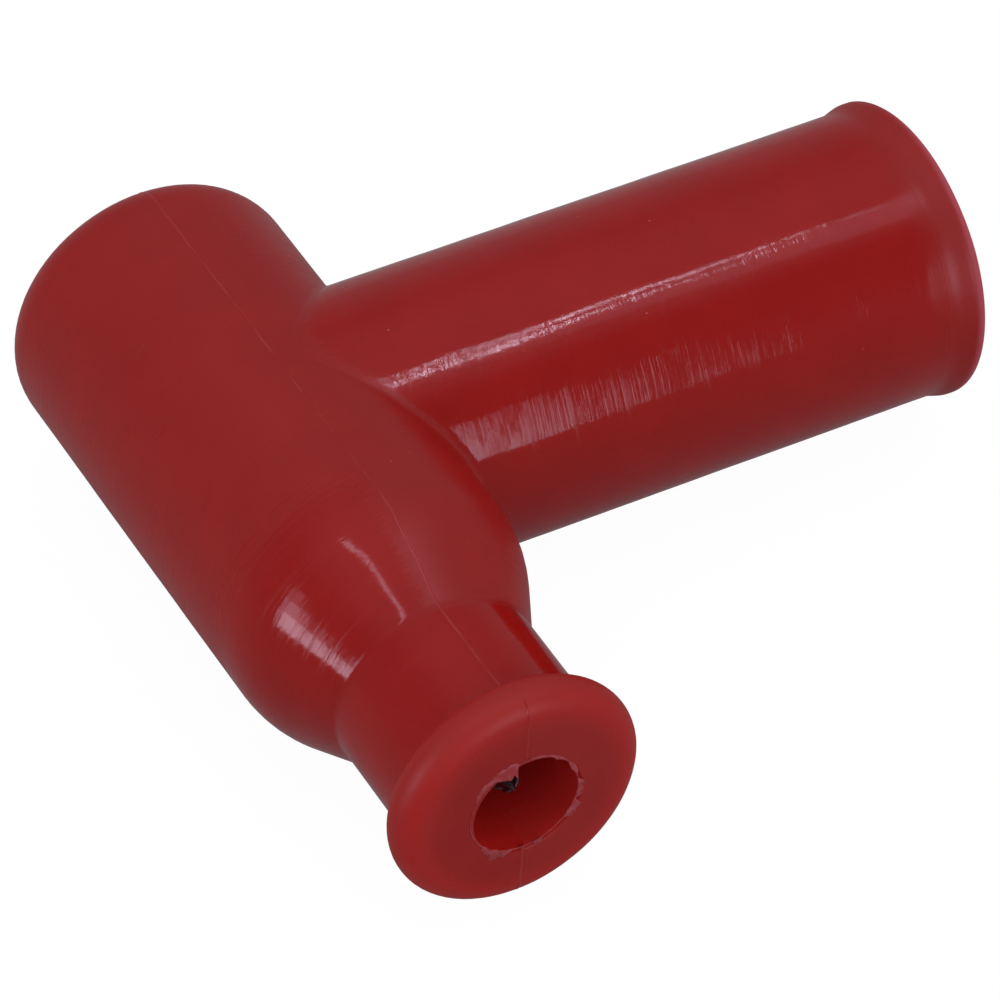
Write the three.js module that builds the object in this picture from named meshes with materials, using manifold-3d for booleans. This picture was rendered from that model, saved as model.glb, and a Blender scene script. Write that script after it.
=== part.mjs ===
// Right-angled spark plug cap: a one-piece silicone boot round a brass terminal.
// Millimetres, +Z up. The cap lies on its side. The plug tube runs along +X to its open mouth and the
// lead neck runs along -Y to its flange. Both axes cross at one point, the crossing, and a reach is
// measured from there.

import * as THREE from 'three';
import { mergeVertices } from 'three/addons/utils/BufferGeometryUtils.js';
import Module from 'manifold-3d';

// Boot, outside
const bodyRadius = 9.3;
const closedEndReach = 18.1;
const closedEndRounding = 3.1;
const shoulderReach = 14.7;
const shoulderBlend = 9;
const coneLength = 5.7;
const neckRadius = 6.5;
const neckBlend = 1;
const neckLength = 7.75;
const flangeRadius = 7.93;
const flangeThickness = 2.9;
const tubeRadius = 9.22;
const tubeReach = 44.1;
const lipHeight = 0.32;
const lipWidth = 1.1;
const lipRounding = 0.16;
const junctionFillet = 0.6;

// Boot, inside
const leadHoleRadius = 3.5;
const insulatorBoreRadius = 5.4;
const sealHeight = 0.4;
const sealWidth = 1.6;
const sealPitch = 4.2;
const sealCount = 3;
const collarRadius = 6.7;
const collarLength = 8.5;
const collarTaper = 1.2;
const mouthWall = 1.3;
const leadInLength = 1.5;
const retainingRimRadius = 4.4;
const retainingRimWidth = 1.4;

// Brass terminal, on the tube's axis
const terminalRadius = 4.8;
const terminalChamfer = 0.5;
const nutBoreRadius = 3.25;
const nutBoreDepth = 9.5;
const nutLeadIn = 0.6;
const baseWall = 2.2;
const clipReach = 3.4; // from the terminal's open end to the middle of its spring clip

// Spring clip
const clipWireRadius = 0.45;
const clipBite = 0.25; // how far the wire stands into the nut's bore
const clipGap = 70; // degrees left open

// Lead screw, on the neck's axis
const screwRadius = 1.9;
const screwTipDepth = 1.0; // below the flange's face
const screwPointAngle = 60; // degrees, over the whole point
const shankRadius = 1.4;
const shankLength = 3.2;
const screwCollarRadius = 2.6;
const screwCollarLength = 1.2;

const clearance = 0.3; // between pieces that seat on each other
const boreClearance = 0.1; // between the screw's shank and its hole
const cutPast = 1; // how far a cut runs on past the face it opens

// Fineness of the round faces
const outerFacets = 56;
const boreFacets = 36;
const smallFacets = 24;
const wireFacets = 8;
const clipSteps = 30;
const arcStep = Math.PI / 12;

const wasm = await Module();
wasm.setup();

// A closed geometry as a solid, turned right side out
function toSolid(geometry) {
  const plain = geometry.index ? geometry.toNonIndexed() : geometry.clone();
  plain.deleteAttribute('normal');
  plain.deleteAttribute('uv');
  const merged = mergeVertices(plain, 1e-4);
  const place = merged.attributes.position;
  const corners = [];
  let volume = 0;
  for (let i = 0; i < merged.index.count; i += 3) {
    const [a, b, c] = [0, 1, 2].map((k) => merged.index.getX(i + k));
    if (a === b || b === c || c === a) continue;
    const [va, vb, vc] = [a, b, c].map((k) => new THREE.Vector3().fromBufferAttribute(place, k));
    volume += va.dot(vb.cross(vc));
    corners.push(a, b, c);
  }
  if (volume < 0) corners.reverse();
  return new wasm.Manifold(new wasm.Mesh({
    numProp: 3,
    vertProperties: new Float32Array(place.array),
    triVerts: new Uint32Array(corners),
  }));
}

function toGeometry(solid) {
  const mesh = solid.getMesh();
  const geometry = new THREE.BufferGeometry();
  geometry.setAttribute('position', new THREE.BufferAttribute(mesh.vertProperties, 3));
  geometry.setIndex(new THREE.BufferAttribute(mesh.triVerts, 1));
  return geometry;
}

// An outline of [radius, height, rounding] corners, with every rounded corner made an arc that
// touches both of its edges. The edges limit a rounding, each by its whole length, or by half of it
// where its other corner is rounded too.
function roundedOutline(corners) {
  const outline = [];
  corners.forEach(([radius, height, rounding = 0], i) => {
    const corner = new THREE.Vector2(radius, height);
    if (rounding === 0) {
      outline.push(corner);
      return;
    }
    const before = new THREE.Vector2(...corners[i - 1].slice(0, 2)).sub(corner);
    const after = new THREE.Vector2(...corners[i + 1].slice(0, 2)).sub(corner);
    const share = (k) => (corners[k][2] ? 0.5 : 1);
    const room = Math.min(before.length() * share(i - 1), after.length() * share(i + 1));
    const half = before.angleTo(after) / 2;
    const setback = Math.min(rounding / Math.tan(half), room);
    const arcRadius = setback * Math.tan(half);
    before.normalize();
    after.normalize();
    const centre = before.clone().add(after).setLength(arcRadius / Math.sin(half)).add(corner);
    const from = before.multiplyScalar(setback).add(corner).sub(centre);
    const to = after.multiplyScalar(setback).add(corner).sub(centre);
    const turn = Math.atan2(from.cross(to), from.dot(to));
    const steps = Math.max(1, Math.ceil(Math.abs(turn) / arcStep));
    for (let step = 0; step <= steps; step += 1) {
      outline.push(from.clone().rotateAround(new THREE.Vector2(), (turn * step) / steps).add(centre));
    }
  });
  return outline;
}

// Turned about Y, the height of the outline being y
function turned(corners, facets) {
  return toSolid(new THREE.LatheGeometry(roundedOutline(corners), facets));
}

// Turned about X, the height of the outline being x
function turnedAlongX(corners, facets) {
  const lathe = new THREE.LatheGeometry(roundedOutline(corners), facets);
  return toSolid(lathe.rotateZ(-Math.PI / 2));
}

// Places on the lead neck, as reaches along -Y
const neckStart = shoulderReach + coneLength;
const flangeBack = neckStart + neckLength;
const flangeFace = flangeBack + flangeThickness;
const screwTip = flangeFace - screwTipDepth;

// Places on the terminal, as reaches along +X
const shankHoleRadius = shankRadius + boreClearance;
const terminalBack = -(shankHoleRadius + baseWall);
const nutBoreFloor = shankHoleRadius + baseWall;
const terminalFront = nutBoreFloor + nutBoreDepth;
const screwSeat = Math.sqrt(terminalRadius ** 2 - screwCollarRadius ** 2);
const shankEnd = shankLength - screwSeat;
const clipPlace = terminalFront - clipReach;
const clipRingRadius = nutBoreRadius - clipBite + clipWireRadius;

// The closed round body, its shoulder, the cone, the neck and the half-round flange
function bodySolid() {
  const rim = flangeThickness / 2;
  return turned([
    [0, -flangeFace],
    [flangeRadius, -flangeFace, rim],
    [flangeRadius, -flangeBack, rim],
    [neckRadius, -flangeBack],
    [neckRadius, -neckStart, neckBlend],
    [bodyRadius, -shoulderReach, shoulderBlend],
    [bodyRadius, closedEndReach, closedEndRounding],
    [0, closedEndReach],
  ], outerFacets);
}

// The plug tube with its thin lip. Its inner end is a dome that stays inside the body.
function tubeSolid() {
  const lipRadius = tubeRadius + lipHeight;
  return turnedAlongX([
    [0, -tubeRadius],
    [tubeRadius, -tubeRadius, tubeRadius],
    [tubeRadius, tubeReach - lipWidth, lipRounding],
    [lipRadius, tubeReach - lipWidth, lipRounding],
    [lipRadius, tubeReach, lipRounding],
    [0, tubeReach],
  ], outerFacets);
}

// The fillet where the tube leaves the body: the path of a ball that rolls round the corner,
// touching both cylinders. Each section is the ball's arc, closed by a point inside the material.
function junctionSolid() {
  const arcParts = 8;
  const sink = 0.02; // the arc ends this far under both surfaces, so that the solids join cleanly
  const bodyOrbit = bodyRadius + junctionFillet - sink;
  const tubeOrbit = tubeRadius + junctionFillet - sink;
  const rootDepth = 0.9;
  const place = [];
  for (let i = 0; i < outerFacets; i += 1) {
    const angle = (i / outerFacets) * 2 * Math.PI;
    const [side, up] = [Math.sin(angle), Math.cos(angle)];
    const away = (bodyReach, tubeSize) => Math.sqrt(Math.max(bodyReach ** 2 - (tubeSize * up) ** 2, 0));
    const ball = new THREE.Vector3(away(bodyOrbit, tubeOrbit), tubeOrbit * side, tubeOrbit * up);
    const toBody = new THREE.Vector3(-ball.x, 0, -ball.z).normalize();
    const toTube = new THREE.Vector3(0, -ball.y, -ball.z).normalize();
    const spin = new THREE.Quaternion().setFromUnitVectors(toBody, toTube);
    for (let part = 0; part <= arcParts; part += 1) {
      const turn = new THREE.Quaternion().slerp(spin, part / arcParts);
      place.push(toBody.clone().applyQuaternion(turn).multiplyScalar(junctionFillet).add(ball));
    }
    const corner = new THREE.Vector3(away(bodyRadius, tubeRadius), tubeRadius * side, tubeRadius * up);
    place.push(corner.multiplyScalar(rootDepth));
  }
  const ring = arcParts + 2;
  const corners = [];
  for (let i = 0; i < outerFacets; i += 1) {
    const next = (i + 1) % outerFacets;
    for (let k = 0; k < ring; k += 1) {
      const [a, b] = [i * ring + k, i * ring + ((k + 1) % ring)];
      const [c, d] = [next * ring + k, next * ring + ((k + 1) % ring)];
      corners.push(a, b, d, a, d, c);
    }
  }
  const geometry = new THREE.BufferGeometry().setFromPoints(place);
  geometry.setIndex(corners);
  return toSolid(geometry);
}

// The cavity along the tube, from the terminal's seat out to the mouth: the retaining rim, the bore
// that grips the insulator with its sealing rings, the wider collar and the lead-in
function plugCavity() {
  const seatRadius = terminalRadius + clearance;
  const rimStart = terminalFront + clearance;
  const rimEnd = rimStart + retainingRimWidth;
  const collarStart = tubeReach - collarLength;
  const mouthRadius = tubeRadius + lipHeight - mouthWall;
  const outline = [
    [0, terminalBack - clearance],
    [seatRadius, terminalBack - clearance],
    [seatRadius, rimStart],
    [retainingRimRadius, rimStart],
    [retainingRimRadius, rimEnd],
    [insulatorBoreRadius, rimEnd + insulatorBoreRadius - retainingRimRadius],
  ];
  for (let i = sealCount; i >= 1; i -= 1) {
    const middle = collarStart - i * sealPitch;
    const crest = insulatorBoreRadius - sealHeight;
    outline.push([insulatorBoreRadius, middle - sealWidth / 2]);
    outline.push([crest, middle - sealWidth / 2 + sealHeight]);
    outline.push([crest, middle + sealWidth / 2 - sealHeight]);
    outline.push([insulatorBoreRadius, middle + sealWidth / 2]);
  }
  outline.push(
    [insulatorBoreRadius, collarStart],
    [collarRadius, collarStart + collarTaper],
    [collarRadius, tubeReach - leadInLength],
    [mouthRadius, tubeReach],
    [mouthRadius, tubeReach + cutPast],
    [0, tubeReach + cutPast],
  );
  return turnedAlongX(outline, boreFacets);
}

// The lead's hole, from the flange's face in to the terminal's seat
function leadCavity() {
  return turned([
    [0, -flangeFace - cutPast],
    [leadHoleRadius, -flangeFace - cutPast],
    [leadHoleRadius, 0],
    [0, 0],
  ], boreFacets);
}

function bootGeometry() {
  const outside = bodySolid().add(tubeSolid()).add(junctionSolid());
  return toGeometry(outside.subtract(plugCavity()).subtract(leadCavity()));
}

// The turned terminal: a socket for the plug's nut with a groove for the spring clip, a solid base
// with the screw's hole across it, and a flat that the screw's collar seats on
function terminalGeometry() {
  const grooveRadius = clipRingRadius + clipWireRadius + clearance;
  const grooveHalf = clipWireRadius + clearance;
  const blank = turnedAlongX([
    [0, terminalBack],
    [terminalRadius - terminalChamfer, terminalBack],
    [terminalRadius, terminalBack + terminalChamfer],
    [terminalRadius, terminalFront - terminalChamfer],
    [terminalRadius - terminalChamfer, terminalFront],
    [nutBoreRadius + nutLeadIn, terminalFront],
    [nutBoreRadius, terminalFront - nutLeadIn],
    [nutBoreRadius, clipPlace + grooveHalf],
    [grooveRadius, clipPlace + grooveHalf],
    [grooveRadius, clipPlace - grooveHalf],
    [nutBoreRadius, clipPlace - grooveHalf],
    [nutBoreRadius, nutBoreFloor],
    [0, nutBoreFloor],
  ], boreFacets);
  const hole = turned([
    [0, -terminalRadius - cutPast],
    [shankHoleRadius, -terminalRadius - cutPast],
    [shankHoleRadius, shankEnd + clearance],
    [0, shankEnd + clearance],
  ], smallFacets);
  const flat = turned([
    [0, -terminalRadius - cutPast],
    [screwCollarRadius + clearance, -terminalRadius - cutPast],
    [screwCollarRadius + clearance, -screwSeat],
    [0, -screwSeat],
  ], smallFacets);
  return toGeometry(blank.subtract(hole).subtract(flat));
}

// An arc about the tube's axis, for the spring clip's wire
class ClipCurve extends THREE.Curve {
  constructor(radius, open) {
    super();
    this.radius = radius;
    this.open = open;
  }

  getPoint(t, target = new THREE.Vector3()) {
    const angle = this.open / 2 + t * (2 * Math.PI - this.open);
    return target.set(0, this.radius * Math.sin(angle), this.radius * Math.cos(angle));
  }
}

// The spring clip: an open ring of round wire
function clipGeometry() {
  const wire = new THREE.Shape().absarc(0, 0, clipWireRadius, 0, 2 * Math.PI);
  const ring = new THREE.ExtrudeGeometry(wire, {
    curveSegments: wireFacets / 2,
    steps: clipSteps,
    extrudePath: new ClipCurve(clipRingRadius, THREE.MathUtils.degToRad(clipGap)),
  });
  return toGeometry(toSolid(ring));
}

// The lead's screw: a shank in the terminal, a collar on the terminal's flat, the core that the
// lead's strands are wound on to, and its point
function screwGeometry() {
  const pointLength = screwRadius / Math.tan(THREE.MathUtils.degToRad(screwPointAngle / 2));
  const collarBack = -screwSeat - clearance;
  const collarFront = collarBack - screwCollarLength;
  return toGeometry(turned([
    [0, -screwTip],
    [screwRadius, -screwTip + pointLength],
    [screwRadius, collarFront],
    [screwCollarRadius, collarFront],
    [screwCollarRadius, collarBack],
    [shankRadius, collarBack],
    [shankRadius, shankEnd],
    [0, shankEnd],
  ], smallFacets));
}

const silicone = new THREE.MeshStandardMaterial({ color: 0x8f2322, roughness: 0.45, metalness: 0 });
const brass = new THREE.MeshStandardMaterial({ color: 0xb8924a, roughness: 0.35, metalness: 1 });
const springSteel = new THREE.MeshStandardMaterial({ color: 0x8c8f94, roughness: 0.3, metalness: 1 });
const platedSteel = new THREE.MeshStandardMaterial({ color: 0x9a9ca0, roughness: 0.35, metalness: 1 });

// The crossing stands where the whole cap's box is centred, with its lowest point on z = 0
const crossing = new THREE.Vector3(
  (bodyRadius - tubeReach) / 2,
  (flangeFace - closedEndReach) / 2,
  Math.max(bodyRadius, tubeRadius + lipHeight),
);

const cap = new THREE.Group();
cap.position.copy(crossing);

function addPiece(name, geometry, material) {
  const mesh = new THREE.Mesh(geometry, material);
  mesh.name = name;
  cap.add(mesh);
  return mesh;
}

addPiece('boot', bootGeometry(), silicone);
addPiece('terminal_socket', terminalGeometry(), brass);
addPiece('spring_clip', clipGeometry(), springSteel).position.x = clipPlace;
addPiece('lead_screw', screwGeometry(), platedSteel);

export default cap;
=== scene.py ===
# Right-angled red silicone spark plug cap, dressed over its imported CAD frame
import math
import bmesh
import bpy
import numpy as np
from mathutils import Matrix, Quaternion, Vector, noise


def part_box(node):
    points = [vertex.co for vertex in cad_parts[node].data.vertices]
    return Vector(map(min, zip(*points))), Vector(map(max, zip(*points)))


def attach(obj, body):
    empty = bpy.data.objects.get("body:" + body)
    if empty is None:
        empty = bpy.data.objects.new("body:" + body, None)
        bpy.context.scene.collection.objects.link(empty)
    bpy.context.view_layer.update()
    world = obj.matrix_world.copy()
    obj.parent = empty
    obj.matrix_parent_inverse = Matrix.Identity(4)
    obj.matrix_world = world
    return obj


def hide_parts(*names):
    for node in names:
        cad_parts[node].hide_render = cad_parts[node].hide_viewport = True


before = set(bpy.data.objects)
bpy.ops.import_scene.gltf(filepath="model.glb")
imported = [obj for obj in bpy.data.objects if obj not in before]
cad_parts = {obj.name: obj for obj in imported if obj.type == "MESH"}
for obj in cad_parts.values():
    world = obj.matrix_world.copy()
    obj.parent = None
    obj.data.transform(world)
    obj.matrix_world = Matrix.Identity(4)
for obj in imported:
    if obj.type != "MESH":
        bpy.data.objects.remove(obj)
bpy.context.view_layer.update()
scene = bpy.context.scene
mm = 0.001

# Sizes in millimetres. A reach is measured from the crossing of the cap's two axes.
boot = {
    "bodyRadius": 9.3, "closedEndReach": 18.1, "closedEndRounding": 3.1,
    "shoulderReach": 14.7, "shoulderBlend": 9.0,
    "neckReach": 20.4, "neckRadius": 6.5, "neckBlend": 1.0,
    "flangeBack": 28.15, "flangeFace": 31.05, "flangeRadius": 7.93, "flangeFillet": 0.3,
    "holeRadius": 3.5, "holeEdge": 0.12,
    "tubeRadius": 9.22, "tubeReach": 44.1, "junctionFillet": 0.6, "rootLength": 2.7,
    "lipHeight": 0.32, "lipStart": 1.75, "lipWidth": 0.7, "lipRounding": 0.34, "lipHollow": 2.5,
    "mouthSkew": 1.4,  # degrees that the mouth leans towards the flange's side
    "skewStart": 24.0,
    "holeShift": (0.26, 0.0, -0.28),  # how far the moulding's core has drifted at the flange's face
    "surfaceWobble": 0.018,
}
bore = {
    "mouthWall": 1.3, "leadIn": 1.5, "collarRadius": 6.7, "collarLength": 8.5, "collarTaper": 1.2,
    "radius": 5.4, "sealHeight": 0.4, "sealWidth": 1.6, "sealPitch": 4.2, "sealCount": 3,
    "rimRadius": 4.4, "rimWidth": 1.4, "seatRadius": 5.1, "seatBack": -4.0, "seatFront": 13.5,
    "edge": 0.2, "saddleEnd": 4.5,  # the latter is where the rows round the lead's hole end
}
meshFineness = {
    "across": 64, "along": 40, "back": 40,  # parts of the body: over its front half, along it, over its back
    "seatAcross": 26, "seatAlong": 26, "seatBack": 26,
    "layers": 14, "layerCrowding": 1.4,  # rows round the tube's root, closer together near it
    "rootRows": 12, "endRow": 0.3,  # rows along the root, and the radius of a turned end's last row
    "arcParts": 8, "arcStep": 6.0, "lineStep": 0.9,
}

bootLow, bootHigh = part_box("boot")
crossing = Vector((
    bootLow.x / mm + boot["bodyRadius"],
    bootHigh.y / mm - boot["closedEndReach"],
    (bootLow.z + bootHigh.z) / 2 / mm,
))
print("frame loaded, crossing of the axes at", [round(v, 3) for v in crossing], "mm")


class Shell:  # a surface grown row by row; places are in millimetres from the crossing
    def __init__(self):
        self.places = []
        self.faces = []

    def row(self, places):
        first = len(self.places)
        self.places.extend(tuple(float(v) for v in place) for place in places)
        return list(range(first, len(self.places)))

    # joins two rows with as many points, or a row to one with twice as many
    def stitch(self, near, far, closed=True):
        if len(near) > len(far):
            near, far = far, near
        count = len(near)
        ratio = len(far) // count
        for i in range(count if closed else count - 1):
            a, b = near[i], near[(i + 1) % count]
            outer = [far[(i * ratio + k) % len(far)] for k in range(ratio + 1)]
            if ratio == 1:
                self.faces.append((a, b, outer[1], outer[0]))
            else:
                self.faces += [(a, outer[1], outer[0]), (a, b, outer[1]), (b, outer[2], outer[1])]

    def chain(self, rows, closed=True):
        for near, far in zip(rows, rows[1:]):
            self.stitch(near, far, closed)

    def close(self, row):  # a fan to the middle of a ring
        centre = self.row([np.mean([self.places[i] for i in row], axis=0)])[0]
        for a, b in zip(row, row[1:] + row[:1]):
            self.faces.append((a, b, centre))

    def lineUp(self, ring, guide):  # the same ring, started and turned so that it runs beside guide
        gap = lambda a, b: math.dist(self.places[a], self.places[b])
        start = min(range(len(ring)), key=lambda i: gap(ring[i], guide[0]))
        forward = ring[start:] + ring[:start]
        backward = forward[:1] + forward[:0:-1]
        quarter = len(ring) // 4
        target = guide[len(guide) // 4]
        return min(forward, backward, key=lambda row: gap(row[quarter], target))


# An outline of (radius, reach, rounding) corners, with arcs at the rounded corners and long lines split
def outline(corners, step=meshFineness["lineStep"]):
    arcStep = math.radians(meshFineness["arcStep"])
    points = []
    for i, (radius, reach, *rest) in enumerate(corners):
        corner = Vector((radius, reach))
        rounding = rest[0] if rest else 0
        if not rounding:
            points.append(corner)
            continue
        sides = [Vector(corners[k][:2]) - corner for k in (i - 1, i + 1)]
        shares = [0.5 if len(corners[k]) > 2 else 1.0 for k in (i - 1, i + 1)]
        room = min(side.length * share for side, share in zip(sides, shares))
        half = sides[0].angle(sides[1]) / 2
        setback = min(rounding / math.tan(half), room)
        arcRadius = setback * math.tan(half)
        sides = [side.normalized() for side in sides]
        centre = corner + (sides[0] + sides[1]).normalized() * (arcRadius / math.sin(half))
        start = corner + sides[0] * setback - centre
        end = corner + sides[1] * setback - centre
        turn = math.atan2(start.x * end.y - start.y * end.x, start.dot(end))
        parts = max(2, math.ceil(abs(turn) / arcStep))
        for part in range(parts + 1):
            points.append(centre + Matrix.Rotation(turn * part / parts, 2) @ start)
    dense = [points[0]]
    for a, b in zip(points, points[1:]):
        if (b - a).length < 1e-6:
            continue
        parts = max(1, math.ceil((b - a).length / step))
        dense += [a.lerp(b, part / parts) for part in range(1, parts + 1)]
    return dense


# Rows of places as (main, branch, side) where a branch cylinder leaves a main one round a rolling ball
def saddleRows(mainRadius, branchRadius, fillet, angles, arcParts):
    c, s = np.cos(angles), np.sin(angles)
    flat = np.zeros_like(c)
    orbit = branchRadius + fillet
    ball = np.stack([orbit * c, np.sqrt((mainRadius + fillet) ** 2 - (orbit * s) ** 2), orbit * s], 1)
    if not fillet:
        return [ball]
    toMain = np.stack([flat, -ball[:, 1], -ball[:, 2]], 1) / (mainRadius + fillet)
    toBranch = np.stack([-c, flat, -s], 1)
    whole = np.arccos(np.clip((toMain * toBranch).sum(1), -1, 1))[:, None]
    rows = []
    for part in np.linspace(0, 1, arcParts + 1):
        swing = np.sin((1 - part) * whole) * toMain + np.sin(part * whole) * toBranch
        rows.append(ball + fillet * swing / np.sin(whole))
    return rows


# The main cylinder round a branch. Gives the row on the branch and the rings at the main's two ends.
def growSaddle(shell, place, mainRadius, branchRadius, fillet, angles, ends, across, along, back):
    high, low = ends
    front = np.linspace(-np.pi / 2, np.pi / 2, across + 1)
    reaches = np.linspace(high, low, along + 1)
    side = np.full(along - 1, np.pi / 2)
    frameAngle = np.concatenate([front, side, front[::-1], -side])
    highEdge, lowEdge = np.full(across + 1, high), np.full(across + 1, low)
    frameMain = np.concatenate([highEdge, reaches[1:-1], lowEdge, reaches[-2:0:-1]])
    arcs = saddleRows(mainRadius, branchRadius, fillet, angles, meshFineness["arcParts"])
    rimAngle = np.arctan2(arcs[0][:, 2], arcs[0][:, 1])
    rimMain = arcs[0][:, 0]
    onMain = lambda main, angle: shell.row(
        place(main, mainRadius * np.cos(angle), mainRadius * np.sin(angle)))
    rows = []
    for share in np.linspace(1, 0, meshFineness["layers"] + 1)[:-1] ** meshFineness["layerCrowding"]:
        mains = rimMain + (frameMain - rimMain) * share
        rows.append(onMain(mains, rimAngle + (frameAngle - rimAngle) * share))
    rows += [shell.row(place(*arc.T)) for arc in arcs]
    shell.chain(rows)
    edge = rows[0]
    lastCorner = 2 * across + along
    columns = [edge[across:across + along + 1]]
    for angle in np.linspace(np.pi / 2, 3 * np.pi / 2, back + 1)[1:-1]:
        columns.append(onMain(reaches, np.full(along + 1, angle)))
    columns.append((edge[lastCorner:] + edge[:1])[::-1])
    shell.chain(columns, closed=False)
    inner = columns[1:-1]
    highRing = edge[:across + 1] + [column[0] for column in inner]
    lowRing = edge[across + along:lastCorner + 1][::-1] + [column[-1] for column in inner]
    return rows[-1], highRing, lowRing


def ringAngles(across, back):
    front = np.linspace(-np.pi / 2, np.pi / 2, across + 1)
    return np.concatenate([front, np.linspace(np.pi / 2, 3 * np.pi / 2, back + 1)[1:-1]])


# Places for rows on the body, on the terminal's seat and on the tube
bodyPlace = lambda main, branch, side: np.stack(np.broadcast_arrays(branch, main, side), -1)
seatPlace = lambda main, branch, side: np.stack(np.broadcast_arrays(main, -branch, side), -1)
tubePlace = lambda x, y, z: np.stack(np.broadcast_arrays(x, y, z), -1)


# Carries a ring on along Y over an outline of (radius, y); the ring's angles run from +X towards +Z
def latheAlongY(shell, ring, angles, points):
    rows = [ring]
    for radius, y in points:
        rows.append(shell.row(bodyPlace(y, radius * np.cos(angles), radius * np.sin(angles))))
    shell.chain(rows)
    return rows[-1]


# Carries a ring on along X over an outline of (radius, x); the ring's angles run from +Y towards +Z
def latheAlongX(shell, ring, angles, points):
    rows = [ring]
    for radius, x in points:
        rows.append(shell.row(tubePlace(x, radius * np.cos(angles), radius * np.sin(angles))))
    shell.chain(rows)
    return rows[-1]


def shoulderStart():
    slope = math.atan2(boot["bodyRadius"] - boot["neckRadius"], boot["neckReach"] - boot["shoulderReach"])
    return boot["shoulderReach"] - boot["shoulderBlend"] * math.tan(slope / 2)


# The flange's rim is half round, and a small fillet leads from the neck on to it
def flangeOutline():
    rim = (boot["flangeFace"] - boot["flangeBack"]) / 2
    fillet = boot["flangeFillet"]
    rimCentre = Vector((boot["flangeRadius"] - rim, -boot["flangeFace"] + rim))
    filletX = boot["neckRadius"] + fillet
    rise = math.sqrt((rim + fillet) ** 2 - (filletX - rimCentre.x) ** 2)
    filletCentre = Vector((filletX, rimCentre.y + rise))
    touch = math.atan2(rise, filletX - rimCentre.x)
    points = []
    for angle in np.linspace(np.pi, np.pi + touch, 7):
        points.append(filletCentre + fillet * Vector((math.cos(angle), math.sin(angle))))
    for angle in np.linspace(touch, -np.pi / 2, 25)[1:]:
        points.append(rimCentre + rim * Vector((math.cos(angle), math.sin(angle))))
    return points


def bodyOutline():
    start = -shoulderStart()
    upper = outline([
        (boot["bodyRadius"], start),
        (boot["bodyRadius"], -boot["shoulderReach"], boot["shoulderBlend"]),
        (boot["neckRadius"], -boot["neckReach"], boot["neckBlend"]),
        (boot["neckRadius"], -boot["flangeBack"] + boot["flangeFillet"]),
    ], step=0.5)
    return [p for p in upper if p.y < start - 1e-6]


def mouthOutline():
    lip = boot["tubeRadius"] + boot["lipHeight"]
    reach = boot["tubeReach"]
    return outline([
        (boot["tubeRadius"], reach - boot["lipStart"] - 1.2),
        (boot["tubeRadius"], reach - boot["lipStart"], boot["lipHollow"]),
        (lip, reach - boot["lipWidth"], 0.8),
        (lip, reach, boot["lipRounding"]),
        (lip - boot["lipRounding"] * 1.5, reach),
    ], step=0.3)


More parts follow.
